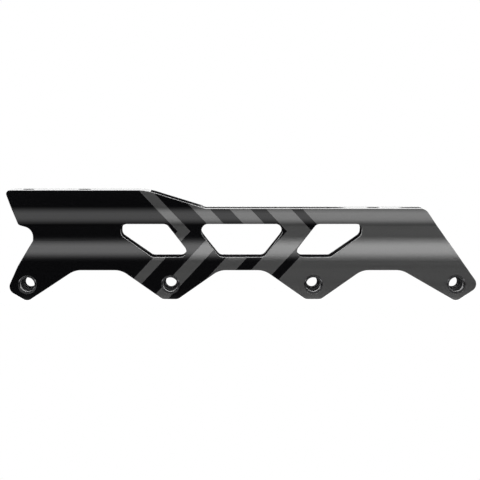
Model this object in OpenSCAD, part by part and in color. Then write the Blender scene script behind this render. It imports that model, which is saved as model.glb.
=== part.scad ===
// Inline skate frame: a one-piece extruded and milled aluminium chassis with a raised heel box,
// pressed steel bushes in its left wall and pressed threaded inserts in its right wall.
//
// +X points to the toe and +Z points up. The left wall, where the axles go in, is on -Y.
// The modules measure height from the axle line. The finished part stands on its leg tips, with
// its origin under the middle of its box.

/* [Axle line] */
// Distance from one axle to the next
axle_pitch = 81; // [80:0.5:84]
// Bore of the bushes that guide the axles
axle_bore = 8.1; // [8.02:0.02:8.2]
// Minor diameter of the axle thread in the inserts
thread_minor = 6.1; // [5.9:0.05:6.3]
// Clear width between the axle rails, where the wheel's bearings and spacer sit
rail_gap = 24.6; // [24:0.1:26]
// Height of the axle rails above the axle line
rail_rise = 6.5; // [6:0.1:7.5]

/* [Cross-section] */
// Outside width across the legs
leg_width = 36; // [34:0.5:38]
// Outside width across the waist, which is the narrowest part
waist_width = 31.4; // [30:0.2:33]
// Outside width across the decks
deck_width = 41; // [39:0.5:44]
// Thickness of the side walls
wall = 2.6; // [2.2:0.1:3]
// Height above the axle line where the legs start to draw in
leg_rise = 13; // [12:0.5:14]
// Height where the waist starts
waist_bottom = 27.5; // [26:0.5:28.5]
// Height where the waist ends
waist_top = 33; // [31.5:0.5:34]
// Height where the walls reach the full deck width
shoulder_rise = 45; // [44:0.5:47]
// Radius along the outer edges of the heel deck
deck_edge_radius = 0.3; // [0.2:0.1:1.5]

/* [Decks] */
// Height of the toe deck's face above the axle line
toe_rise = 43; // [42.8:0.1:44]
// Height of the heel deck's face above the axle line
heel_rise = 53.5; // [51:0.1:56]
// Thickness of the lower deck
lower_deck = 2.8; // [2.4:0.1:3]
// Depth that milling takes off the lower deck to true up the toe deck's face
toe_skim = 0.4; // [0.2:0.1:0.6]
// Thickness of the heel deck
heel_deck = 3; // [2.4:0.1:3.6]
// Radius inside the corners between walls and decks
inner_fillet = 1.5; // [0.5:0.25:2]

/* [Ramp] */
// Distance from the middle of the wheelbase back to the foot of the ramp
ramp_foot = 20.3; // [16:0.1:24]
// Radius at the foot of the ramp
ramp_foot_radius = 2; // [1:0.5:10]
// Slope of the ramp from toe deck to heel deck, in degrees
ramp_angle = 17.2; // [15:0.1:20]
// Radius of the crest at the top of the ramp
ramp_crest_radius = 32; // [10:1:36]

/* [Legs and arches] */
// Height of the arches between the legs above the axle line
arch_rise = 8.1; // [7.5:0.1:8.8]
// Radius of the arches' corners
arch_radius = 12; // [8:0.5:14]
// Slope of the two middle legs' sides, in degrees
leg_angle = 35; // [32:0.5:40]
// Width of the flat foot of a middle leg
foot_width = 8.7; // [7:0.1:11]
// Drop from the axle line to a middle leg's foot
foot_drop = 8.3; // [7.8:0.1:8.6]
// Drop from the axle line to the corner of an end leg, before it is rounded
tip_drop = 9.6; // [9.2:0.1:11]
// Radius of the leg tips
tip_radius = 4; // [3:0.25:5]
// Slope of the rear leg's side that faces the toe, in degrees
rear_leg_angle = 33.4; // [30:0.2:38]
// Slope of the front leg's side that faces the heel, in degrees
front_leg_angle = 30; // [28:0.2:36]

/* [Heel end] */
// Distance from the rear axle back to the heel deck's rear corner
heel_overhang = 12.6; // [10:0.1:14]
// Radius of the heel deck's rear corner
heel_corner_radius = 2; // [0.5:0.25:3]
// Distance from the rear axle back to the heel's lower corner
heel_lip = 5.2; // [3:0.1:7]
// Height of the heel's lower corner
heel_lip_rise = 33.7; // [33:0.1:36]
// Radius of the heel's lower corner
heel_lip_radius = 2.5; // [1:0.25:4]
// Distance that the notch behind the heel reaches ahead of the rear axle
notch_reach = 3.1; // [1:0.1:6]
// Height of the notch's upper corner
notch_top = 31.4; // [30.5:0.1:32]
// Radius of the notch's upper corner
notch_top_radius = 6; // [3:0.25:6.5]
// Height of the notch's lower corner
notch_bottom = 24.8; // [22:0.1:26]
// Radius of the notch's lower corner
notch_bottom_radius = 2; // [1:0.25:3]
// Distance from the rear axle back to the rear leg's knee
knee_back = 5.4; // [4:0.1:6.5]
// Height of the rear leg's knee
knee_rise = 10.5; // [8:0.1:13]
// Radius of the rear leg's knee
knee_radius = 16; // [8:1:24]
// Distance from the rear axle back to the rear leg's outer corner
rear_leg_back = 11.4; // [10.6:0.1:13]
// Drop from the axle line to the rear leg's outer corner
rear_leg_drop = 3; // [2:0.1:4]

/* [Toe end] */
// Distance from the front axle back to the toe deck's front corner
toe_setback = 17.5; // [15:0.1:20]
// Radius of the toe deck's front corner
toe_corner_radius = 5; // [2:0.25:6]
// Distance from the front axle forward to the front leg's outer corner
front_leg_ahead = 13.3; // [12:0.1:15]
// Drop from the axle line to the front leg's outer corner
front_leg_drop = 0.9; // [0:0.1:2]
// Radius of the front and rear legs' outer corners
nose_radius = 4.5; // [3:0.25:5]

/* [Windows] */
// Height of the windows' upper edges
window_top = 34.2; // [33:0.1:36]
// Height of the windows' lower edges
window_bottom = 15.4; // [14:0.1:17]
// Slope of the struts between the windows, in degrees
strut_angle = 51.8; // [48:0.2:56]
// Width of the struts, measured along the frame
strut_width = 16; // [14:0.2:18]
// Width of the middle window along its lower edge
middle_window = 23; // [20:0.5:26]
// Length of an end window's lower edge
end_window_sill = 23.4; // [20:0.2:25]
// Distance from the middle of the wheelbase to an end window's far side
end_window_reach = 68.6; // [64:0.2:72]
// Slope of an end window's lower far side, in degrees
end_window_angle = 35; // [32:0.5:38]
// Radius of the windows' sharp corners
window_sharp_radius = 3.4; // [2:0.1:4]
// Radius of the windows' blunt corners
window_blunt_radius = 3.6; // [2:0.1:5]

/* [Deck openings] */
// Width of the long opening in the lower deck
deck_opening = 20; // [16:0.5:24]
// Distance from the middle of the wheelbase back to the rear end of the long opening
opening_rear = 52; // [48:0.5:56]
// Distance from the middle of the wheelbase forward to the front end of the long opening
opening_front = 60; // [56:0.5:62]
// Radius of the notch in the toe deck's front edge
toe_notch_radius = 8.2; // [7:0.1:9]
// Distance from the front axle back to the centre of that notch
toe_notch_setback = 24.2; // [23:0.1:25]

/* [Mounting slots] */
// Distance between the toe slot and the front slot of the heel
slot_spacing = 165; // [160:0.5:168]
// Distance from the front axle back to the toe slot
toe_slot_setback = 46.2; // [45:0.1:47.5]
// Distance from the rear axle back to the rear slot of the heel
rear_slot_back = 0.4; // [-1:0.1:1]
// Width of the toe slot and of the front slot of the heel
slot_width = 7.6; // [6.4:0.1:8]
// Width of the rear slot of the heel
rear_slot_width = 6.5; // [6.4:0.1:7.5]
// Length of the slots across the frame
slot_length = 16; // [12:0.5:20]
// Width of the access slots in the lower deck under the heel
access_width = 13; // [12:0.5:14]
// Length of the access slots across the frame
access_length = 20; // [18:0.5:24]

/* [Bushes and inserts] */
// Outside diameter of the bushes' and inserts' barrels
barrel = 9.4; // [9:0.1:9.8]
// Outside diameter of the bushes' flanges
bush_flange = 10.5; // [10.2:0.1:11.2]
// Outside diameter of the inserts' flanges
insert_flange = 11; // [10.4:0.1:11.6]
// Depth that the flanges are sunk into the walls
flange_sink = 0.8; // [0.5:0.1:1]
// Height that the flanges stand proud of the walls
flange_proud = 0.4; // [0.2:0.1:0.6]
// Bevel around the flanges and in the mouths of the bores
bevel = 0.35; // [0.2:0.05:0.45]
// Play between a barrel and its seat in the wall
seat_play = 0; // [0:0.01:0.04]

/* [Hidden] */
$fn = 72;

BLACK = "#141416";
STEEL = "#8d8f93";

axle_count = 4;
axle_x = [for (i = [0 : axle_count - 1]) (i - (axle_count - 1) / 2) * axle_pitch];
rear_axle = axle_x[0];
front_axle = axle_x[axle_count - 1];

// Steps in each curve of the cross-section
curve_steps = 10;
// Angle between points on a rounded corner of the side view
corner_step = 7.5;
// Angle between points on a rounded corner of the cross-section
section_step = 15;
// Length by which a cutting shape runs past what it cuts
past = 1;

leg_half = leg_width / 2;
rail_half = rail_gap / 2;
seat = barrel + 2 * seat_play;
cavity_floor = toe_rise + toe_skim;
channel_roof = cavity_floor - lower_deck;
cavity_roof = heel_rise - heel_deck;

// Points on the arc that rounds the corner at b between the lines to a and c
function corner(a, b, c, r) =
    let (
        u = (a - b) / norm(a - b),
        v = (c - b) / norm(c - b),
        half = acos(u * v) / 2,
        centre = b + (u + v) / norm(u + v) * r / sin(half),
        start = b + u * r / tan(half) - centre,
        side = sign(u[0] * v[1] - u[1] * v[0]),
        turn = 180 - 2 * half,
        steps = max(2, ceil(turn / corner_step))
    )
    [for (i = [0 : steps])
        let (t = -side * turn * i / steps)
        centre + [start[0] * cos(t) - start[1] * sin(t), start[0] * sin(t) + start[1] * cos(t)]];

// Outline through corners given as [x, z, radius], each rounded to its radius
function rounded(corners) =
    let (n = len(corners), at = function (i) [corners[i % n][0], corners[i % n][1]])
    [for (i = [0 : n - 1])
        for (p = corner(at(i + n - 1), at(i), at(i + 1), corners[i][2])) p];

// Smooth step from a to b as t goes from 0 to 1
function ease(a, b, t) = a + (b - a) * (1 - cos(180 * t)) / 2;

// Half of the outside width at height z: legs, waist, shoulders and decks
function half_width(z) =
    (z <= leg_rise ? leg_width
    : z < waist_bottom ? ease(leg_width, waist_width, (z - leg_rise) / (waist_bottom - leg_rise))
    : z <= waist_top ? waist_width
    : z < shoulder_rise ? ease(waist_width, deck_width, (z - waist_top) / (shoulder_rise - waist_top))
    : deck_width) / 2;

// Heights of the points on the curved walls between two levels
function levels(low, high) = [
    for (span = [[leg_rise, waist_bottom], [waist_top, shoulder_rise]])
        for (i = [0 : curve_steps])
            let (z = span[0] + (span[1] - span[0]) * i / curve_steps)
            if (z > low && z < high) z
];

// A list of points followed by its mirror image, which closes a symmetric outline
function both_sides(right) =
    concat(right, [for (i = [len(right) - 1 : -1 : 0]) [-right[i][0], right[i][1]]]);

// Rear edge of the frame from the heel deck down to the leg tip
rear_corners = [
    [rear_axle - heel_overhang, heel_rise, heel_corner_radius],
    [rear_axle - heel_lip, heel_lip_rise, heel_lip_radius],
    [rear_axle + notch_reach, notch_top, notch_top_radius],
    [rear_axle + notch_reach, notch_bottom, notch_bottom_radius],
    [rear_axle - knee_back, knee_rise, knee_radius],
    [rear_axle - rear_leg_back, -rear_leg_drop, nose_radius],
    [rear_axle, -tip_drop, tip_radius]
];

// Front edge from the leg tip up to the toe deck
front_corners = [
    [front_axle, -tip_drop, tip_radius],
    [front_axle + front_leg_ahead, -front_leg_drop, nose_radius],
    [front_axle - toe_setback, toe_rise, toe_corner_radius]
];

// Arch and foot of the middle leg under the axle at x, from its rear arch to its front arch
function middle_leg(x) =
    let (
        foot = foot_width / 2,
        run = foot + (arch_rise + foot_drop) / tan(leg_angle)
    )
    [
        [x - run, arch_rise, arch_radius],
        [x - foot, -foot_drop, tip_radius],
        [x + foot, -foot_drop, tip_radius],
        [x + run, arch_rise, arch_radius]
    ];

rear_arch = [rear_axle + (arch_rise + tip_drop) / tan(rear_leg_angle), arch_rise, arch_radius];
front_arch = [front_axle - (arch_rise + tip_drop) / tan(front_leg_angle), arch_rise, arch_radius];
ramp_crest = -ramp_foot - (heel_rise - toe_rise) / tan(ramp_angle);

// Outline of the frame in side view
side_outline = rounded(concat(
    rear_corners,
    [rear_arch],
    middle_leg(axle_x[1]),
    middle_leg(axle_x[2]),
    [front_arch],
    front_corners,
    [[-ramp_foot, toe_rise, ramp_foot_radius], [ramp_crest, heel_rise, ramp_crest_radius]]
));

outline_x = [for (p = side_outline) p[0]];
outline_z = [for (p = side_outline) p[1]];
// The part's origin, seen from the modules' own frame
origin = [(min(outline_x) + max(outline_x)) / 2, 0, min(outline_z)];
frame_length = max(outline_x) - min(outline_x);

// Run of a slanted side over a height
strut_run = (window_top - window_bottom) / tan(strut_angle);

// Corners of the middle window
middle_window_corners = [
    [-middle_window / 2, window_bottom, window_blunt_radius],
    [middle_window / 2, window_bottom, window_blunt_radius],
    [middle_window / 2 + strut_run, window_top, window_sharp_radius],
    [-middle_window / 2 - strut_run, window_top, window_sharp_radius]
];

// Corners of the end window towards the toe, which the one towards the heel mirrors
end_window_near = middle_window / 2 + strut_width;
end_window_far = end_window_near + end_window_sill;
end_window_corners = [
    [end_window_near, window_bottom, window_sharp_radius],
    [end_window_far, window_bottom, window_blunt_radius],
    [end_window_reach,
     window_bottom + (end_window_reach - end_window_far) * tan(end_window_angle),
     window_blunt_radius],
    [end_window_reach, window_top, window_sharp_radius],
    [end_window_near + strut_run, window_top, window_blunt_radius]
];

// Moves a piece from the frame of the axle line to the part's own frame
module in_place() {
    translate(-origin) children();
}

// Extrudes an outline drawn in side view across the frame
module across(width) {
    rotate([90, 0, 0])
        linear_extrude(height = width, center = true)
            children();
}

// Extrudes a cross-section, drawn as width and height, along the whole frame
module along() {
    translate([min(outline_x) - past, 0, 0])
        rotate([90, 0, 90])
            linear_extrude(height = frame_length + 2 * past)
                children();
}

// Outer shape of the extrusion: legs, drawn-in waist, shoulders and square heel deck
module outer_section() {
    bottom = min(outline_z) - past;
    edge = heel_rise - deck_edge_radius;
    side = deck_width / 2 - deck_edge_radius;
    polygon(both_sides(concat(
        [[leg_half, bottom]],
        [for (z = levels(bottom, edge)) [half_width(z), z]],
        [for (a = [0 : section_step : 90]) [side, edge] + deck_edge_radius * [cos(a), sin(a)]]
    )));
}

// Channel between the walls: axle rails below, thin walls above, lower deck as its roof
module channel_section() {
    bottom = min(outline_z) - 2 * past;
    slope_top = rail_rise + half_width(rail_rise) - wall - rail_half;
    roof = channel_roof - inner_fillet;
    side = half_width(roof) - wall - inner_fillet;
    polygon(both_sides(concat(
        [[rail_half, bottom], [rail_half, rail_rise], [half_width(slope_top) - wall, slope_top]],
        [for (z = levels(slope_top, roof)) [half_width(z) - wall, z]],
        [for (a = [0 : section_step : 90]) [side, roof] + inner_fillet * [cos(a), sin(a)]]
    )));
}

// Closed cavity of the heel box between the lower deck and the heel deck
module cavity_section() {
    floor_side = half_width(cavity_floor) - wall - inner_fillet;
    roof_side = deck_width / 2 - wall - inner_fillet;
    polygon(both_sides(concat(
        [for (a = [-90 : section_step : 0])
            [floor_side, cavity_floor + inner_fillet] + inner_fillet * [cos(a), sin(a)]],
        [for (a = [0 : section_step : 90])
            [roof_side, cavity_roof - inner_fillet] + inner_fillet * [cos(a), sin(a)]]
    )));
}

// The extrusion as it leaves the die, the full length of the frame
module extrusion() {
    along()
        difference() {
            outer_section();
            channel_section();
            cavity_section();
        }
}

// Slot across the frame through a deck, with round ends, centred at x between two heights
module cross_slot(x, width, length, low, high) {
    translate([x, 0, low])
        linear_extrude(height = high - low) {
            square([width, length - width], center = true);
            for (side = [-1, 1])
                translate([0, side * (length - width) / 2])
                    circle(d = width);
        }
}

// Cuts in the side walls: three windows through both walls
module windows() {
    across(deck_width + 2 * past) {
        polygon(rounded(middle_window_corners));
        for (side = [0, 1])
            mirror([side, 0])
                polygon(rounded(end_window_corners));
    }
}

// The long opening in the lower deck, with round ends
module long_opening() {
    half = deck_opening / 2;
    translate([0, 0, channel_roof - past])
        linear_extrude(height = lower_deck + 2 * past) {
            translate([half - opening_rear, -half])
                square([opening_rear + opening_front - deck_opening, deck_opening]);
            for (x = [half - opening_rear, opening_front - half])
                translate([x, 0])
                    circle(d = deck_opening);
        }
}

// The heel deck ends square ahead of the crest, so that only the walls follow the ramp
module ramp_clearing() {
    width = deck_width - 2 * wall;
    translate([-opening_rear, -width / 2, cavity_floor + inner_fillet])
        cube([opening_rear, width, heel_rise]);
}

// The notch that runs out of the toe deck's front edge
module toe_notch() {
    x = front_axle - toe_notch_setback;
    translate([x, 0, channel_roof - past])
        linear_extrude(height = lower_deck + 2 * past) {
            circle(r = toe_notch_radius);
            translate([0, -toe_notch_radius])
                square([toe_notch_setback, 2 * toe_notch_radius]);
        }
}

// Slots that the boot's mounting bolts pass through, and the access slots below the heel's
module mounting_slots() {
    toe_x = front_axle - toe_slot_setback;
    heel = [[toe_x - slot_spacing, slot_width], [rear_axle - rear_slot_back, rear_slot_width]];
    cross_slot(toe_x, slot_width, slot_length, channel_roof - past, toe_rise + past);
    for (slot = heel) {
        cross_slot(slot[0], slot[1], slot_length, cavity_roof - past, heel_rise + past);
        cross_slot(slot[0], access_width, access_length, channel_roof - past, cavity_floor + past);
    }
}

// Seat for a flanged barrel, sunk into a wall whose face is at z = 0 and whose inside is below
module seat_cut(flange) {
    rail = leg_half - rail_half;
    translate([0, 0, -rail - past])
        cylinder(d = seat, h = rail + 2 * past);
    translate([0, 0, -flange_sink])
        cylinder(d = flange + 2 * seat_play, h = flange_sink + past);
}

// Puts a piece drawn along z at an axle, on the left wall (side -1) or the right wall (side 1)
module at_wall(x, side) {
    translate([x, side * leg_half, 0])
        rotate([-side * 90, 0, 0])
            children();
}

// Flanged steel barrel that fills a seat, with a bevelled bore right through it
module flanged_barrel(flange, bore) {
    rail = leg_half - rail_half;
    rotate_extrude()
        polygon([
            [bore / 2 + bevel, flange_proud],
            [flange / 2 - bevel, flange_proud],
            [flange / 2, flange_proud - bevel],
            [flange / 2, -flange_sink],
            [barrel / 2, -flange_sink],
            [barrel / 2, -rail],
            [bore / 2 + bevel, -rail],
            [bore / 2, bevel - rail],
            [bore / 2, flange_proud - bevel]
        ]);
}

module chassis() {
    color(BLACK)
        in_place()
            difference() {
                intersection() {
                    extrusion();
                    across(deck_width + 2 * past)
                        polygon(side_outline);
                }
                windows();
                long_opening();
                ramp_clearing();
                toe_notch();
                mounting_slots();
                for (x = axle_x) {
                    at_wall(x, -1) seat_cut(bush_flange);
                    at_wall(x, 1) seat_cut(insert_flange);
                }
            }
}

// Bush that guides axle i, counted from the heel
module axle_bush(i) {
    color(STEEL)
        in_place()
            at_wall(axle_x[i - 1], -1)
                flanged_barrel(bush_flange, axle_bore);
}

// Threaded insert that holds the end of axle i, counted from the heel
module thread_insert(i) {
    color(STEEL)
        in_place()
            at_wall(axle_x[i - 1], 1)
                flanged_barrel(insert_flange, thread_minor);
}

chassis();
axle_bush(1);  // axle_bush_1
axle_bush(2);  // axle_bush_2
axle_bush(3);  // axle_bush_3
axle_bush(4);  // axle_bush_4
thread_insert(1);  // thread_insert_1
thread_insert(2);  // thread_insert_2
thread_insert(3);  // thread_insert_3
thread_insert(4);  // thread_insert_4
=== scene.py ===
"""Looks of the inline skate frame: its finishes, rounded edges, windows, bushes and inserts.

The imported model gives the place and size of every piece. Lengths are in metres, +X points to the
toe, +Z points up, and the left wall, where the axles go in, is on -Y.
"""

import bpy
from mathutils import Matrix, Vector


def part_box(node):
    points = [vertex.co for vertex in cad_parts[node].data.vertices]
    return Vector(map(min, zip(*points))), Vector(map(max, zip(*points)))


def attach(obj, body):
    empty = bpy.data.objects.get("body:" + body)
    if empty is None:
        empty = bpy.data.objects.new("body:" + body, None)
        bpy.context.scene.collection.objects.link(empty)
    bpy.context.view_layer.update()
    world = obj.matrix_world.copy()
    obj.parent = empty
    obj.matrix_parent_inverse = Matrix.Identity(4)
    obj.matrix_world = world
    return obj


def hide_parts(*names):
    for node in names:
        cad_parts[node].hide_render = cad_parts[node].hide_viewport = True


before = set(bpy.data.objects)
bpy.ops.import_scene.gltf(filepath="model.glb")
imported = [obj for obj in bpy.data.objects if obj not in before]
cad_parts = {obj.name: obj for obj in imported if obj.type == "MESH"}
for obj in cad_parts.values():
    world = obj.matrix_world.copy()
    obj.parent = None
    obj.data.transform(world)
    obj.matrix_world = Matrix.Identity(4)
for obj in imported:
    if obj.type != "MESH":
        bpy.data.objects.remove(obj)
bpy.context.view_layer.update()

import logging
import math
from dataclasses import dataclass, field
from enum import Enum
from functools import cache
from typing import Any, Iterable, Optional, Union

import bmesh
import bpy
from mathutils import Vector

LOG = logging.getLogger("skate_frame")
MM = 0.001
BODY = "root"
EDGE_LAYER = "edge"

Colour = tuple[float, float, float]
Grains = tuple[float, float, float]
Limits = tuple[float, float]
Input = Union[float, tuple, bpy.types.NodeSocket]

WHITE: Colour = (1.0, 1.0, 1.0)
# Nearly all values of a noise lie between these.
NOISE_LIMITS: Limits = (0.3, 0.7)


class Finish(Enum):
    """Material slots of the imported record."""

    CHASSIS = "anodised_chassis"
    BUSH = "bush_steel"
    INSERT = "insert_steel"


class Side(Enum):
    """The two side walls, by the sign of their Y."""

    LEFT = -1
    RIGHT = 1


class Face(Enum):
    """What a face of the chassis is dressed as, by its material index."""

    PRINTED = 0
    BARE = 1


class Ramp(Enum):
    """How a value grows between the ends of a range."""

    STRAIGHT = "LINEAR"
    SMOOTH = "SMOOTHSTEP"


class Kind(Enum):
    """Kinds of input of a Geometry Nodes tree, by Blender's socket type."""

    NUMBER = "NodeSocketFloat"
    COUNT = "NodeSocketInt"
    VECTOR = "NodeSocketVector"
    MATERIAL = "NodeSocketMaterial"


class Graph:
    """Short-hand for adding linked nodes to one node tree."""

    def __init__(self, tree: bpy.types.NodeTree) -> None:
        """Takes the node tree to fill, and removes the nodes that it holds."""
        self.tree = tree
        tree.nodes.clear()

    def feed(self, socket: bpy.types.NodeSocket, value: Input) -> None:
        """Links a socket to another one, or sets its value.

        Args:
            socket: The input to fill.
            value: An output socket, a number or a tuple.
        """
        if isinstance(value, bpy.types.NodeSocket):
            self.tree.links.new(value, socket)
        else:
            socket.default_value = value

    def node(self, kind: str, inputs: Optional[dict] = None, **settings: Any) -> bpy.types.Node:
        """Adds a node.

        Args:
            kind: The node's type name.
            inputs: Values or sockets by the input's name or number.
            settings: Properties of the node.

        Returns:
            The new node.
        """
        made = self.tree.nodes.new(kind)
        for name, value in settings.items():
            setattr(made, name, value)
        for name, value in (inputs or {}).items():
            self.feed(made.inputs[name], value)
        return made

    def math(self, operation: str, *values: Input) -> bpy.types.NodeSocket:
        """Adds a Math node, by Blender's name of its operation, and returns its result."""
        return self.node("ShaderNodeMath", dict(enumerate(values)), operation=operation).outputs[0]

    def span(self, value: Input, low: float, high: float, to_low: float, to_high: float,
             ramp: Ramp = Ramp.STRAIGHT) -> bpy.types.NodeSocket:
        """Maps the range of a value, low to high, to another one, and holds it beyond the ends."""
        inputs = {0: value, 1: low, 2: high, 3: to_low, 4: to_high}
        return self.node("ShaderNodeMapRange", inputs, interpolation_type=ramp.value).outputs[0]

    def vary(self, noise: Input, low: float, high: float) -> bpy.types.NodeSocket:
        """Maps a noise to the values between two limits."""
        return self.span(noise, *NOISE_LIMITS, low, high)

    def place(self) -> bpy.types.NodeSocket:
        """Returns the piece's own coordinates, in metres."""
        return self.node("ShaderNodeTexCoord").outputs["Object"]

    def noise(self, grains: Grains, detail: float = 2.0) -> bpy.types.NodeSocket:
        """Adds a noise that can be drawn out along an axis.

        Args:
            grains: Grains per metre along X, Y and Z.
            detail: Octaves of the noise.

        Returns:
            A value around a half.
        """
        scaled = self.node("ShaderNodeVectorMath", {0: self.place(), 1: grains}, operation="MULTIPLY")
        inputs = {"Vector": scaled.outputs[0], "Scale": 1.0, "Detail": detail}
        return self.node("ShaderNodeTexNoise", inputs).outputs[0]

    def blend(self, factor: Input, first: Input, second: Input) -> bpy.types.NodeSocket:
        """Mixes two colours.

        Args:
            factor: Share of the second colour.
            first: The first colour.
            second: The second colour.

        Returns:
            The mixed colour.
        """
        made = self.node("ShaderNodeMix", data_type="RGBA")
        by_name = {s.identifier: s for s in made.inputs}
        self.feed(by_name["Factor_Float"], factor)
        self.feed(by_name["A_Color"], first)
        self.feed(by_name["B_Color"], second)
        return next(s for s in made.outputs if s.identifier == "Result_Color")

    def relief(self, height: Input, depth: float, below: Optional[Input] = None) -> bpy.types.NodeSocket:
        """Adds a bump.

        Args:
            height: Height of the relief, from 0 to 1.
            depth: Depth that a height of 1 stands for, in metres.
            below: Normal of the relief under this one.

        Returns:
            The bumped normal.
        """
        inputs = {"Height": height, "Distance": depth, "Strength": 1.0}
        if below is not None:
            inputs["Normal"] = below
        return self.node("ShaderNodeBump", inputs).outputs[0]


def opaque(colour: Colour) -> tuple:
    """Returns a colour with full alpha."""
    return (*colour, 1.0)


def new_shader(name: str) -> tuple[bpy.types.Material, Graph, bpy.types.Node]:
    """Makes a material with a Principled shader in it.

    Args:
        name: The material's name.

    Returns:
        The material, its graph and the shader node.
    """
    material = bpy.data.materials.new(name)
    material.use_nodes = True
    graph = Graph(material.node_tree)
    shader = graph.node("ShaderNodeBsdfPrincipled")
    graph.node("ShaderNodeOutputMaterial", {"Surface": shader.outputs[0]})
    return material, graph, shader


@dataclass(frozen=True)
class Chevrons:
    """Two-tone pattern of chevrons that point to the toe and widen towards it."""

    apex_height: float = 39.0 * MM
    start: float = -52.0 * MM
    pitch: float = 23.0 * MM
    count: int = 5
    arm_slope: float = math.radians(47)
    narrow: float = 0.24
    wide: float = 0.8

    def mask(self, graph: Graph) -> bpy.types.NodeSocket:
        """Adds the nodes of the pattern.

        Args:
            graph: The graph of the material that wears it.

        Returns:
            1 where the surface is light, 0 where it is dark.
        """
        axes = graph.node("ShaderNodeSeparateXYZ", {0: graph.place()}).outputs
        off_apex = graph.math("ABSOLUTE", graph.math("SUBTRACT", axes[2], self.apex_height))
        along = graph.math("MULTIPLY_ADD", off_apex, 1 / math.tan(self.arm_slope), axes[0])
        step = graph.math("DIVIDE", graph.math("SUBTRACT", along, self.start), self.pitch)
        share = graph.span(step, 0, self.count, self.narrow, self.wide)
        edge = graph.math("SUBTRACT", 1.0, share)
        stripe = graph.math("GREATER_THAN", graph.math("FRACT", step), edge)
        begun = graph.math("GREATER_THAN", step, 0.0)
        beyond = graph.math("GREATER_THAN", step, float(self.count))
        return graph.math("MAXIMUM", graph.math("MULTIPLY", stripe, begun), beyond)


@dataclass(frozen=True)
class PrintedAnodising:
    """Satin two-tone finish of the side walls, black at the heel and dark grey at the toe."""

    dark: Colour = (0.0026, 0.0026, 0.0032)
    light: Colour = (0.094, 0.094, 0.094)
    roughness: Limits = (0.38, 0.44)
    metal: float = 0.84
    coat_roughness: float = 0.19
    coat_ior: float = 1.37
    speckles: Grains = (2600.0, 2600.0, 2600.0)
    speckle_detail: float = 1.0
    speckle_tone: Limits = (0.94, 1.06)
    die_lines: Grains = (5.0, 900.0, 900.0)
    die_line_tone: Limits = (0.98, 1.02)
    die_line_depth: float = 0.004 * MM
    peel: Grains = (420.0, 420.0, 420.0)
    peel_depth: float = 0.006 * MM
    pattern: Chevrons = field(default_factory=Chevrons)

    def material(self) -> bpy.types.Material:
        """Makes the finish.

        Returns:
            Its material.
        """
        material, graph, shader = new_shader("printed_anodising")
        speckle = graph.noise(self.speckles, self.speckle_detail)
        drawn = graph.noise(self.die_lines)
        speckled = graph.vary(speckle, *self.speckle_tone)
        tone = graph.math("MULTIPLY", speckled, graph.vary(drawn, *self.die_line_tone))
        flat = graph.blend(self.pattern.mask(graph), opaque(self.dark), opaque(self.light))
        coloured = graph.node("ShaderNodeVectorMath", {0: flat, 1: tone}, operation="MULTIPLY")
        graph.feed(shader.inputs["Base Color"], coloured.outputs[0])
        graph.feed(shader.inputs["Roughness"], graph.vary(drawn, *self.roughness))
        lines = graph.relief(drawn, self.die_line_depth)
        peel = graph.noise(self.peel)
        graph.feed(shader.inputs["Normal"], graph.relief(peel, self.peel_depth, lines))
        shader.inputs["Metallic"].default_value = self.metal
        shader.inputs["Specular IOR Level"].default_value = 0.0
        shader.inputs["Coat Weight"].default_value = 1.0
        shader.inputs["Coat Roughness"].default_value = self.coat_roughness
        shader.inputs["Coat IOR"].default_value = self.coat_ior
        return material


@dataclass(frozen=True)
class BlackAnodising:
    """Satin black finish of the decks, the inside and the milled edges."""

    colour: Colour = (0.006, 0.006, 0.0068)
    worn: Colour = (0.05, 0.05, 0.052)
    roughness: Limits = (0.19, 0.29)
    ior: float = 1.45
    mill_marks: Grains = (1600.0, 12.0, 1600.0)
    mill_depth: float = 0.003 * MM
    wear_patches: Grains = (60.0, 60.0, 60.0)
    wear_limits: Limits = (0.35, 0.7)
    wear_share: Limits = (0.1, 0.7)

    def material(self) -> bpy.types.Material:
        """Makes the finish.

        Returns:
            Its material.
        """
        material, graph, shader = new_shader("black_anodising")
        across = graph.noise(self.mill_marks)
        patches = graph.span(graph.noise(self.wear_patches), *self.wear_limits, *self.wear_share)
        edge = graph.node("ShaderNodeAttribute", attribute_name=EDGE_LAYER).outputs["Fac"]
        wear = graph.math("MULTIPLY", edge, patches)
        graph.feed(shader.inputs["Base Color"], graph.blend(wear, opaque(self.colour), opaque(self.worn)))
        graph.feed(shader.inputs["Roughness"], graph.vary(across, *self.roughness))
        graph.feed(shader.inputs["Normal"], graph.relief(across, self.mill_depth))
        shader.inputs["IOR"].default_value = self.ior
        return material


@dataclass(frozen=True)
class TurnedSteel:
    """Steel with the fine rings that turning leaves on it."""

    name: str
    colour: Colour
    roughness: Limits = (0.19, 0.33)
    rings: Grains = (900.0, 3200.0, 900.0)
    ring_depth: float = 0.006 * MM
    stains: Grains = (300.0, 300.0, 300.0)
    stain_limits: Limits = (0.35, 0.65)
    stain_tone: float = 0.7

    def material(self) -> bpy.types.Material:
        """Makes the finish.

        Returns:
            Its material.
        """
        material, graph, shader = new_shader(self.name)
        rings = graph.noise(self.rings)
        clean = graph.span(graph.noise(self.stains), *self.stain_limits, 0.0, 1.0)
        stained = tuple(self.stain_tone * part for part in self.colour)
        graph.feed(shader.inputs["Base Color"], graph.blend(clean, opaque(stained), opaque(self.colour)))
        graph.feed(shader.inputs["Roughness"], graph.vary(rings, *self.roughness))
        graph.feed(shader.inputs["Normal"], graph.relief(rings, self.ring_depth))
        shader.inputs["Metallic"].default_value = 1.0
        return material


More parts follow.
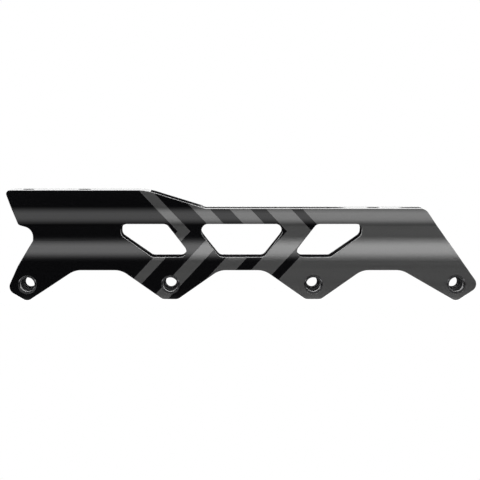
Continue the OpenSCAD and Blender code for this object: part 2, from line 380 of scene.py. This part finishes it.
@dataclass(frozen=True)
class WallProfile:
    """Cross-section of the side walls: legs, drawn-in waist and shoulders under the decks."""

    axle_height: float
    leg_width: float = 36.0 * MM
    waist_width: float = 31.4 * MM
    deck_width: float = 41.0 * MM
    wall: float = 2.6 * MM
    leg_rise: float = 13.0 * MM
    waist_bottom: float = 27.5 * MM
    waist_top: float = 33.0 * MM
    shoulder_rise: float = 45.0 * MM
    slack: float = 0.06 * MM
    least_match: float = 0.9

    def _ease(self, height: float) -> tuple[float, float, float]:
        """Finds the stretch of the section that a height lies in.

        Args:
            height: Height above the floor.

        Returns:
            The widths at the stretch's two ends, and the height's share of the way.
        """
        above = height - self.axle_height
        if above < self.waist_top:
            share = (above - self.leg_rise) / (self.waist_bottom - self.leg_rise)
            return self.leg_width, self.waist_width, min(max(share, 0.0), 1.0)
        share = (above - self.waist_top) / (self.shoulder_rise - self.waist_top)
        return self.waist_width, self.deck_width, min(max(share, 0.0), 1.0)

    def half_width(self, height: float) -> float:
        """Half of the outside width at a height above the floor."""
        start, end, share = self._ease(height)
        return (start + (end - start) * (1 - math.cos(math.pi * share)) / 2) / 2

    def slope(self, height: float) -> float:
        """Says how fast the half width grows with the height.

        Args:
            height: Height above the floor.

        Returns:
            The growth for each metre of height.
        """
        start, end, share = self._ease(height)
        above = height - self.axle_height
        run = self.waist_bottom - self.leg_rise
        if above >= self.waist_top:
            run = self.shoulder_rise - self.waist_top
        return (end - start) / 2 * math.pi / 2 * math.sin(math.pi * share) / run

    def is_outer(self, point: Vector) -> bool:
        """Says if a point lies on the outer face of a wall."""
        return abs(abs(point.y) - self.half_width(point.z)) < self.slack

    def normal(self, point: Vector, facing: Vector) -> Optional[Vector]:
        """Finds the true normal of a wall at a point.

        Args:
            point: The point.
            facing: The normal of the flat face that the point belongs to.

        Returns:
            The normal, or None if the point isn't on a wall or the flat face doesn't follow it.
        """
        gap = self.half_width(point.z) - abs(point.y)
        if min(abs(gap), abs(gap - self.wall)) > self.slack:
            return None
        side = math.copysign(1.0, point.y)
        outward = Vector((0.0, side, -self.slope(point.z))).normalized()
        true = outward if abs(gap) < self.slack else -outward
        return true if true.dot(facing) > self.least_match else None


@dataclass(frozen=True)
class WindowSide:
    """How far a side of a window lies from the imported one, along the frame.

    Start and end are the stretch of X that the side lies in. A fade gives the heights above the axle
    line between which the shift goes to nothing. Without one, the whole side moves.
    """

    start: float
    end: float
    shift: float
    fade: Optional[Limits] = None

    def offset(self, along: float, above: float) -> float:
        """Says how far a point of the side moves.

        Args:
            along: The point's X.
            above: Its height above the axle line.

        Returns:
            The way along X, which is 0 for a point of another side.
        """
        if not self.start < along < self.end:
            return 0.0
        if self.fade is None:
            return self.shift
        low, high = self.fade
        share = min(max((high - above) / (high - low), 0.0), 1.0)
        return self.shift * share * share * (3 - 2 * share)


@dataclass
class Chassis:
    """The extruded and milled body: windows set, sharp edges broken, walls shaded smooth."""

    profile: WallProfile
    node: str = "chassis"
    edge_break: float = 0.25 * MM
    edge_room: float = 2.1
    edge_steps: int = 2
    edge_roundness: float = 0.5
    wall_facing: float = 0.7
    weld: float = 0.001 * MM
    stub: float = 0.05 * MM
    flat_angle: float = math.radians(0.2)
    sharp_angle: float = math.radians(30)
    flat_layer: str = "flat"
    most_turn: float = math.radians(60)
    window_bottom: float = 15.3 * MM
    window_top: float = 34.3 * MM
    window_sides: tuple[WindowSide, ...] = (
        WindowSide(-46.5 * MM, -27.3 * MM, -0.33 * MM),
        WindowSide(-27.3 * MM, 0.0 * MM, -1.05 * MM, fade=(27.0 * MM, 32.5 * MM)),
        WindowSide(0.0 * MM, 27.3 * MM, 1.05 * MM, fade=(27.0 * MM, 32.5 * MM)),
        WindowSide(27.3 * MM, 46.5 * MM, 0.25 * MM),
        WindowSide(46.5 * MM, 72.0 * MM, -0.55 * MM, fade=(28.0 * MM, 36.0 * MM)))

    def _solid(self) -> bmesh.types.BMesh:
        """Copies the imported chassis.

        Returns:
            One closed mesh with whole flat faces.
        """
        solid = bmesh.new()
        solid.from_mesh(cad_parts[self.node].data)
        bmesh.ops.remove_doubles(solid, verts=solid.verts, dist=self.weld)
        bmesh.ops.dissolve_limit(solid, angle_limit=self.flat_angle, verts=solid.verts, edges=solid.edges)
        bmesh.ops.dissolve_degenerate(solid, dist=self.stub, edges=solid.edges)
        return solid

    def _set_windows(self, solid: bmesh.types.BMesh) -> None:
        """Moves the windows' sides to where the real ones are, along the straight walls.

        Args:
            solid: The closed mesh.
        """
        for vert in solid.verts:
            above = vert.co.z - self.profile.axle_height
            if self.window_bottom < above < self.window_top:
                vert.co.x += sum(side.offset(vert.co.x, above) for side in self.window_sides)

    def _dress(self, solid: bmesh.types.BMesh) -> None:
        """Picks each face's material, before the edges are rounded.

        Args:
            solid: The closed mesh.
        """
        for face in solid.faces:
            is_wall = abs(face.normal.y) > self.wall_facing
            is_print = is_wall and all(self.profile.is_outer(vert.co) for vert in face.verts)
            face.material_index = (Face.PRINTED if is_print else Face.BARE).value

    def _number_flats(self, solid: bmesh.types.BMesh) -> list[Vector]:
        """Numbers the flat regions, before the edges are rounded.

        Args:
            solid: The closed mesh.

        Returns:
            The normal of each region.
        """
        layer = solid.faces.layers.int.new(self.flat_layer)
        normals: list[Vector] = []
        seen = set()
        for seed in solid.faces:
            if seed in seen:
                continue
            seen.add(seed)
            waiting = [seed]
            while waiting:
                face = waiting.pop()
                face[layer] = len(normals)
                for other in (near for edge in face.edges for near in edge.link_faces):
                    same = other.material_index == seed.material_index
                    if same and other not in seen and other.normal.angle(seed.normal) < self.flat_angle:
                        seen.add(other)
                        waiting.append(other)
            normals.append(seed.normal.copy())
        return normals

    def _flats(self, solid: bmesh.types.BMesh, rounded: set) -> dict[int, tuple[list, list]]:
        """Collects the flat regions.

        Args:
            solid: The closed mesh.
            rounded: Faces that belong to no region.

        Returns:
            The faces and the rim edges of each region, by its number.
        """
        layer = solid.faces.layers.int[self.flat_layer]
        faces: dict[int, list] = {}
        for face in solid.faces:
            if face not in rounded:
                faces.setdefault(face[layer], []).append(face)
        flats = {}
        for number, members in faces.items():
            inside = set(members)
            edges = dict.fromkeys(edge for face in members for edge in face.edges)
            rim = [edge for edge in edges if sum(face in inside for face in edge.link_faces) == 1]
            flats[number] = (members, rim)
        return flats

    @staticmethod
    def _room(edge: bmesh.types.BMEdge, face: bmesh.types.BMFace, rim: list) -> float:
        """Measures how wide a flat region is beside one of its rim edges.

        Args:
            edge: The rim edge.
            face: The region's face at that edge.
            rim: All rim edges of the region.

        Returns:
            The distance from the edge's middle, square to it, to the rim's next edge.
        """
        loop = next(loop for loop in edge.link_loops if loop.face is face)
        along = (loop.link_loop_next.vert.co - loop.vert.co).normalized()
        inward = face.normal.cross(along)
        middle = (edge.verts[0].co + edge.verts[1].co) / 2
        widest = math.inf
        for other in rim:
            ends = [vert.co - middle for vert in other.verts]
            before, after = (end.dot(along) for end in ends)
            if other is edge or before * after > 0 or before == after:
                continue
            depth = ends[0].lerp(ends[1], before / (before - after)).dot(inward)
            if 0 < depth < widest:
                widest = depth
        return widest

    def _break_edges(self, solid: bmesh.types.BMesh) -> set:
        """Rounds the sharp edges, but for those beside a region too narrow for it.

        Args:
            solid: The closed mesh.

        Returns:
            The faces that the rounding added.
        """
        least = self.edge_room * self.edge_break
        layer = solid.faces.layers.int[self.flat_layer]
        flats = self._flats(solid, set())
        sharp = [
            edge for edge in solid.edges
            if edge.calc_face_angle(0) > self.sharp_angle
            and all(self._room(edge, face, flats[face[layer]][1]) > least for face in edge.link_faces)]
        made = bmesh.ops.bevel(
            solid, geom=sharp, offset=self.edge_break, offset_type="OFFSET", affect="EDGES",
            segments=self.edge_steps, profile=self.edge_roundness, clamp_overlap=False, loop_slide=False)
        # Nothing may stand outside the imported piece's box.
        low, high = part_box(self.node)
        for vert in solid.verts:
            vert.co = Vector(min(max(c, a), b) for c, a, b in zip(vert.co, low, high))
        bmesh.ops.remove_doubles(solid, verts=solid.verts, dist=self.weld)
        return {face for face in made["faces"] if face.is_valid}

    def _crossed(self, solid: bmesh.types.BMesh, normals: list[Vector]) -> set:
        """Finds the faces whose outlines the rounding has crossed.

        Args:
            solid: The closed mesh.
            normals: The normal of each region.

        Returns:
            The faces with a triangle that turns away from their region's normal.
        """
        layer = solid.faces.layers.int[self.flat_layer]
        crossed = set()
        for loops in solid.calc_loop_triangles():
            face = loops[0].face
            first, second, third = (loop.vert.co for loop in loops)
            facing = (second - first).cross(third - first)
            if facing.angle(normals[face[layer]], 0.0) > self.most_turn:
                crossed.add(face)
        return crossed

    def _refill_flats(self, solid: bmesh.types.BMesh, normals: list[Vector], rounded: set) -> None:
        """Fills each flat region afresh from its rim, because the rounding moves rims over inner edges.

        Args:
            solid: The closed mesh.
            normals: The normal of each region.
            rounded: The faces of the rounded edges.
        """
        crossed = self._crossed(solid, normals)
        for number, (members, rim) in self._flats(solid, rounded).items():
            if len(members) == 1 and members[0] not in crossed:
                continue
            normal = normals[number]
            dress = members[0].material_index
            bmesh.ops.delete(solid, geom=members, context="FACES")
            filled = bmesh.ops.triangle_fill(solid, use_beauty=True, edges=rim, normal=normal)
            for face in filled["geom"]:
                if not isinstance(face, bmesh.types.BMFace):
                    continue
                face.normal_update()
                if face.normal.dot(normal) < 0:
                    face.normal_flip()
                face.material_index = dress

    def _normals(self, solid: bmesh.types.BMesh, rounded: set) -> list[Vector]:
        """Works out the shading normals.

        Args:
            solid: The closed mesh.
            rounded: The faces of the rounded edges.

        Returns:
            One normal for each corner of each face, in their order.
        """
        solid.normal_update()
        by_vert: dict[int, Optional[Vector]] = {}
        for vert in solid.verts:
            main = [face for face in vert.link_faces if face not in rounded]
            faces = main or list(vert.link_faces)
            mean = sum((face.normal * face.calc_area() for face in faces), Vector()).normalized()
            if main:
                mean = self.profile.normal(vert.co, mean) or mean
            torn = any(face.normal.angle(mean, 0.0) > self.sharp_angle for face in main)
            by_vert[vert.index] = None if torn else mean
        corners = []
        for face in solid.faces:
            for vert in face.verts:
                corners.append(by_vert[vert.index] or face.normal)
        return corners

    def build(self, finishes: Iterable[bpy.types.Material]) -> bpy.types.Object:
        """Makes the dressed chassis.

        Args:
            finishes: The materials of the printed and of the bare faces.

        Returns:
            The piece.
        """
        solid = self._solid()
        self._set_windows(solid)
        edge_layer = solid.faces.layers.float.new(EDGE_LAYER)
        self._dress(solid)
        normals = self._number_flats(solid)
        rounded = self._break_edges(solid)
        self._refill_flats(solid, normals, rounded)
        for face in rounded:
            face[edge_layer] = 1.0
        solid.verts.index_update()
        corners = self._normals(solid, rounded)
        mesh = bpy.data.meshes.new(f"{self.node}_shell")
        solid.to_mesh(mesh)
        solid.free()
        for finish in finishes:
            mesh.materials.append(finish)
        mesh.shade_smooth()
        mesh.normals_split_custom_set(corners)
        piece = bpy.data.objects.new(f"{self.node}_shell", mesh)
        bpy.context.scene.collection.objects.link(piece)
        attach(piece, BODY)
        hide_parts(self.node)
        return piece


class Tree:
    """A Geometry Nodes tree with named inputs."""

    def __init__(self, name: str, inputs: dict[str, Kind]) -> None:
        """Makes the tree and its inputs.

        Args:
            name: The tree's name.
            inputs: The kind of each input, by its name.
        """
        self.tree = bpy.data.node_groups.new(name, "GeometryNodeTree")
        self.graph = Graph(self.tree)
        sockets = self.tree.interface
        sockets.new_socket(name="Geometry", in_out="INPUT", socket_type="NodeSocketGeometry")
        self.keys = {
            label: sockets.new_socket(name=label, in_out="INPUT", socket_type=kind.value).identifier
            for label, kind in inputs.items()}
        sockets.new_socket(name="Geometry", in_out="OUTPUT", socket_type="NodeSocketGeometry")
        self.inputs = self.graph.node("NodeGroupInput").outputs

    def finish(self, geometry: bpy.types.NodeSocket) -> None:
        """Ends the tree: real geometry with its material.

        Args:
            geometry: What the tree made.
        """
        real = self.graph.node("GeometryNodeRealizeInstances", {0: geometry}).outputs[0]
        dressed = self.graph.node("GeometryNodeSetMaterial", {
            "Geometry": real, "Material": self.inputs["Finish"]}).outputs[0]
        self.graph.node("NodeGroupOutput", {0: dressed})

    def apply_to(self, piece: bpy.types.Object, values: dict[str, Any]) -> None:
        """Adds the tree to a piece as a modifier.

        Args:
            piece: The piece.
            values: The value of each input, by its name.
        """
        modifier = piece.modifiers.new(self.tree.name, "NODES")
        modifier.node_group = self.tree
        for label, value in values.items():
            modifier[self.keys[label]] = value


@cache
def turned_ring_tree() -> Tree:
    """Makes the tree that turns a closed profile round an axis and rounds its edges.

    Returns:
        The tree, which also puts the ring in its place.
    """
    made = Tree("turned_ring", {
        "Core Radius": Kind.NUMBER, "Lip Radius": Kind.NUMBER, "Lip Steps": Kind.COUNT,
        "Segments": Kind.COUNT, "Place": Kind.VECTOR, "Turn": Kind.VECTOR, "Finish": Kind.MATERIAL})
    graph, inputs = made.graph, made.inputs
    loop = graph.node("GeometryNodeMeshToCurve", {"Mesh": inputs["Geometry"]}).outputs[0]
    section = graph.node("GeometryNodeFilletCurve", {
        "Curve": loop, "Count": inputs["Lip Steps"], "Radius": inputs["Lip Radius"],
        "Limit Radius": True}, mode="POLY").outputs[0]
    path = graph.node("GeometryNodeCurvePrimitiveCircle", {
        "Resolution": inputs["Segments"], "Radius": inputs["Core Radius"]}).outputs[0]
    ring = graph.node("GeometryNodeCurveToMesh", {"Curve": path, "Profile Curve": section}).outputs[0]
    made.finish(graph.node("GeometryNodeTransform", {
        "Geometry": ring, "Translation": inputs["Place"], "Rotation": inputs["Turn"]}).outputs[0])
    return made


@cache
def thread_tree() -> Tree:
    """Makes the tree that winds the ridge of a screw thread and joins it to the piece.

    Returns:
        The tree.
    """
    made = Tree("thread_ridge", {
        "Radius": Kind.NUMBER, "Ridge": Kind.NUMBER, "Ridge Sides": Kind.COUNT,
        "Length": Kind.NUMBER, "Turns": Kind.NUMBER, "Turn Steps": Kind.COUNT,
        "Place": Kind.VECTOR, "Turn": Kind.VECTOR, "Finish": Kind.MATERIAL})
    graph, inputs = made.graph, made.inputs
    helix = graph.node("GeometryNodeCurveSpiral", {
        "Resolution": inputs["Turn Steps"], "Rotations": inputs["Turns"],
        "Start Radius": inputs["Radius"], "End Radius": inputs["Radius"],
        "Height": inputs["Length"]}).outputs[0]
    upright = graph.node("GeometryNodeSetCurveNormal", {"Curve": helix}, mode="Z_UP").outputs[0]
    section = graph.node("GeometryNodeCurvePrimitiveCircle", {
        "Resolution": inputs["Ridge Sides"], "Radius": inputs["Ridge"]}).outputs[0]
    ridge = graph.node("GeometryNodeCurveToMesh", {
        "Curve": upright, "Profile Curve": section, "Fill Caps": True}).outputs[0]
    placed = graph.node("GeometryNodeTransform", {
        "Geometry": ridge, "Translation": inputs["Place"], "Rotation": inputs["Turn"]}).outputs[0]
    joined = graph.node("GeometryNodeJoinGeometry", {0: placed})
    graph.feed(joined.inputs[0], inputs["Geometry"])
    made.finish(joined.outputs[0])
    return made


@dataclass
class FlangedBarrel:
    """A turned steel barrel with a flange, pressed into the wall at one axle."""

    node: str
    side: Side
    finish: Finish
    bore: float
    barrel: float = 9.4 * MM
    sink: float = 0.8 * MM
    proud: float = 0.4 * MM
    mouth: float = 0.35 * MM
    lip: float = 0.12 * MM
    lip_steps: int = 3
    segments: int = 72
    weld: float = 0.0005 * MM
    sharp_angle: float = math.radians(35)
    flange: float = field(init=False)
    depth: float = field(init=False)
    place: Vector = field(init=False)
    turn: Vector = field(init=False)

    def __post_init__(self) -> None:
        """Takes the piece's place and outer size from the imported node."""
        low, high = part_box(self.node)
        middle = (low + high) / 2
        face = high.y if self.side is Side.RIGHT else low.y
        self.flange = high.x - low.x
        self.depth = (high.y - low.y) - self.proud
        self.place = Vector((middle.x, face - self.side.value * self.proud, middle.z))
        self.turn = Vector((-self.side.value * math.pi / 2, 0.0, 0.0))

    def _profile(self) -> bpy.types.Object:
        """Draws the closed profile, as distance from the bore's wall and depth in the wall.

        Returns:
            The profile as an object.
        """
        bore, barrel, flange = self.bore / 2, self.barrel / 2, self.flange / 2
        outline = [
            (bore + self.mouth, self.proud), (flange - self.mouth, self.proud),
            (flange, self.proud - self.mouth), (flange, -self.sink), (barrel, -self.sink),
            (barrel, -self.depth), (bore + self.mouth, -self.depth),
            (bore, self.mouth - self.depth), (bore, self.proud - self.mouth)]
        mesh = bpy.data.meshes.new(self.node)
        points = [(radius - bore, -height, 0.0) for radius, height in outline]
        edges = [(i, (i + 1) % len(points)) for i in range(len(points))]
        mesh.from_pydata(points, edges, [])
        piece = bpy.data.objects.new(f"turned_{self.node}", mesh)
        bpy.context.scene.collection.objects.link(piece)
        return piece

    def _shape(self, piece: bpy.types.Object, steel: bpy.types.Material) -> None:
        """Adds the ring's modifier.

        Args:
            piece: The profile.
            steel: The material.
        """
        turned_ring_tree().apply_to(piece, {
            "Core Radius": self.bore / 2, "Lip Radius": self.lip, "Lip Steps": self.lip_steps,
            "Segments": self.segments, "Place": self.place, "Turn": self.turn, "Finish": steel})

    def _bake(self, piece: bpy.types.Object) -> None:
        """Turns the piece and its modifiers into one plain mesh whose faces point outwards.

        Args:
            piece: The piece.
        """
        seen = piece.evaluated_get(bpy.context.evaluated_depsgraph_get())
        mesh = bpy.data.meshes.new_from_object(seen)
        piece.modifiers.clear()
        piece.data = mesh
        solid = bmesh.new()
        solid.from_mesh(mesh)
        bmesh.ops.remove_doubles(solid, verts=solid.verts, dist=self.weld)
        bmesh.ops.recalc_face_normals(solid, faces=solid.faces)
        solid.to_mesh(mesh)
        solid.free()
        mesh.shade_smooth()
        mesh.set_sharp_from_angle(angle=self.sharp_angle)

    def build(self, steel: bpy.types.Material) -> bpy.types.Object:
        """Makes the piece.

        Args:
            steel: Its material.

        Returns:
            The piece.
        """
        piece = self._profile()
        self._shape(piece, steel)
        self._bake(piece)
        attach(piece, BODY)
        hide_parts(self.node)
        return piece


@dataclass
class ThreadedInsert(FlangedBarrel):
    """A flanged barrel with a screw thread in its bore."""

    crest: float = 6.1 * MM
    pitch: float = 1.0 * MM
    turn_steps: int = 36
    ridge_sides: int = 4

    def _shape(self, piece: bpy.types.Object, steel: bpy.types.Material) -> None:
        """Adds the ring's modifier and the thread's.

        Args:
            piece: The profile.
            steel: The material.
        """
        super()._shape(piece, steel)
        ridge = self.pitch / 2
        length = self.depth + self.proud - 2 * self.mouth - self.pitch
        bottom = ridge + self.mouth - self.depth
        inward = Vector((0.0, self.side.value, 0.0))
        thread_tree().apply_to(piece, {
            "Radius": self.crest / 2 + ridge, "Ridge": ridge, "Ridge Sides": self.ridge_sides,
            "Length": length, "Turns": length / self.pitch, "Turn Steps": self.turn_steps,
            "Place": self.place + inward * bottom, "Turn": self.turn, "Finish": steel})


@dataclass
class AxleFittings:
    """The steel pieces in the two walls at each axle: a plain bush and a threaded insert."""

    axles: int = 4
    shank_bore: float = 8.1 * MM
    thread_bore: float = 7.0 * MM
    bush_steel: TurnedSteel = TurnedSteel(Finish.BUSH.value, colour=(0.09, 0.09, 0.093))
    insert_steel: TurnedSteel = TurnedSteel(Finish.INSERT.value, colour=(0.045, 0.045, 0.047))

    def build(self) -> list[bpy.types.Object]:
        """Makes the pieces, from heel to toe.

        Returns:
            The bush and the insert of each axle in turn.
        """
        bush_steel = self.bush_steel.material()
        insert_steel = self.insert_steel.material()
        pieces = []
        for number in range(1, self.axles + 1):
            bush = FlangedBarrel(f"axle_bush_{number}", Side.LEFT, Finish.BUSH, self.shank_bore)
            pieces.append(bush.build(bush_steel))
            insert = ThreadedInsert(f"thread_insert_{number}", Side.RIGHT, Finish.INSERT, self.thread_bore)
            pieces.append(insert.build(insert_steel))
        return pieces


@dataclass
class Studio:
    """Pale floor, soft light from above, from below and from behind, and the camera."""

    floor_reach: float = 0.6
    floor_tone: float = 0.21
    floor_glow: float = 1.0
    floor_roughness: float = 0.9
    pool_depth: float = 20.0 * MM
    pool_fade: float = 8.0 * MM
    pool_width: Limits = (0.2, 0.4)
    ground_gain: float = 3.5
    ground_power: float = 3.1
    sky_gain: float = 79.0
    sky_power: float = 2.9
    sky_most: float = 8.0
    sky_fade: Limits = (0.43, 0.55)
    sky_top: float = 0.06
    backdrop_glow: float = 1.6
    backdrop_edge: Limits = (0.3, 0.8)
    backdrop_foot: Limits = (-0.12, 0.0)
    paper_glow: float = 1.0
    camera_place: Vector = field(default_factory=lambda: Vector((-9.365, -1730.0, 114.003)) * MM)
    camera_dip: float = math.radians(2.67)
    camera_swing: float = math.radians(0.284)
    camera_lens: float = 226.95
    camera_sensor: float = 36.0
    camera_reach: float = 20.0

    def floor(self) -> bpy.types.Object:
        """Makes the floor, a pool of light that fades into the pale surround.

        Returns:
            The floor.
        """
        reach = self.floor_reach
        mesh = bpy.data.meshes.new("floor")
        mesh.from_pydata([(-reach, -reach, 0), (reach, -reach, 0), (reach, reach, 0), (-reach, reach, 0)],
                         [], [(0, 1, 2, 3)])
        piece = bpy.data.objects.new("floor", mesh)
        bpy.context.scene.collection.objects.link(piece)
        material, graph, shader = new_shader("floor_paper")
        shader.inputs["Base Color"].default_value = opaque((self.floor_tone,) * 3)
        shader.inputs["Roughness"].default_value = self.floor_roughness
        shader.inputs["Specular IOR Level"].default_value = 0.0
        shader.inputs["Emission Color"].default_value = opaque(WHITE)
        shader.inputs["Emission Strength"].default_value = self.floor_glow
        axes = graph.node("ShaderNodeSeparateXYZ", {0: graph.place()}).outputs
        past_pool = graph.math("SUBTRACT", self.pool_depth, graph.math("ABSOLUTE", axes[1]))
        fading = graph.math("EXPONENT", graph.math("DIVIDE", past_pool, self.pool_fade))
        depth = graph.math("MINIMUM", fading, 1.0)
        width = graph.span(graph.math("ABSOLUTE", axes[0]), *self.pool_width, 1.0, 0.0, Ramp.SMOOTH)
        seen_below = graph.node("ShaderNodeNewGeometry").outputs["Backfacing"]
        above = graph.math("SUBTRACT", 1.0, seen_below)
        cover = graph.math("MULTIPLY", graph.math("MULTIPLY", depth, width), above)
        graph.feed(shader.inputs["Alpha"], cover)
        mesh.materials.append(material)
        return piece

    def surround(self) -> None:
        """Makes the studio round the object: bright above, below and behind, and dark in front."""
        world = bpy.data.worlds.new("studio")
        world.use_nodes = True
        bpy.context.scene.world = world
        graph = Graph(world.node_tree)
        direction = graph.node("ShaderNodeTexCoord").outputs["Generated"]
        axes = graph.node("ShaderNodeSeparateXYZ", {0: direction}).outputs
        drop = graph.math("MAXIMUM", graph.math("MULTIPLY", axes[2], -1.0), 0.0)
        ground = graph.math("MULTIPLY", graph.math("POWER", drop, self.ground_power), self.ground_gain)
        rise = graph.math("MAXIMUM", axes[2], 0.0)
        growth = graph.math("MULTIPLY", graph.math("POWER", rise, self.sky_power), self.sky_gain)
        fade = graph.span(axes[2], *self.sky_fade, 1.0, self.sky_top, Ramp.SMOOTH)
        ceiling = graph.math("MULTIPLY", graph.math("MINIMUM", growth, self.sky_most), fade)
        behind = graph.span(axes[1], *self.backdrop_edge, 0.0, self.backdrop_glow, Ramp.SMOOTH)
        above_floor = graph.span(axes[2], *self.backdrop_foot, 0.0, 1.0, Ramp.SMOOTH)
        front = graph.math("ADD", ceiling, ground)
        glow = graph.math("MAXIMUM", front, graph.math("MULTIPLY", behind, above_floor))
        white = opaque(WHITE)
        lit = graph.node("ShaderNodeBackground", {"Color": white, "Strength": glow}).outputs[0]
        paper = graph.node("ShaderNodeBackground", {"Color": white, "Strength": self.paper_glow}).outputs[0]
        seen = graph.node("ShaderNodeLightPath").outputs["Is Camera Ray"]
        both = graph.node("ShaderNodeMixShader", {0: seen, 1: lit, 2: paper}).outputs[0]
        graph.node("ShaderNodeOutputWorld", {"Surface": both})

    def camera(self) -> bpy.types.Object:
        """Makes the camera where the photographer's stood.

        Returns:
            The camera.
        """
        data = bpy.data.cameras.new("camera")
        data.lens = self.camera_lens
        data.sensor_width = self.camera_sensor
        data.clip_end = self.camera_reach
        piece = bpy.data.objects.new("camera", data)
        piece.location = self.camera_place
        piece.rotation_euler = (math.pi / 2 - self.camera_dip, 0.0, -self.camera_swing)
        bpy.context.scene.collection.objects.link(piece)
        bpy.context.scene.camera = piece
        return piece

    def build(self) -> None:
        """Sets the stage and the colour management."""
        self.camera()
        self.floor()
        self.surround()
        bpy.context.scene.view_settings.view_transform = "Standard"


def main() -> None:
    """Builds the studio and dresses every piece of the frame."""
    logging.basicConfig(level=logging.INFO, format="%(name)s: %(message)s")
    Studio().build()
    low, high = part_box("axle_bush_1")
    profile = WallProfile(axle_height=(low.z + high.z) / 2)
    finishes = [PrintedAnodising().material(), BlackAnodising().material()]
    pieces = [Chassis(profile).build(finishes), *AxleFittings().build()]
    for piece in pieces:
        LOG.info("%s: %d faces", piece.name, len(piece.data.polygons))


if __name__ == "__main__":
    main()
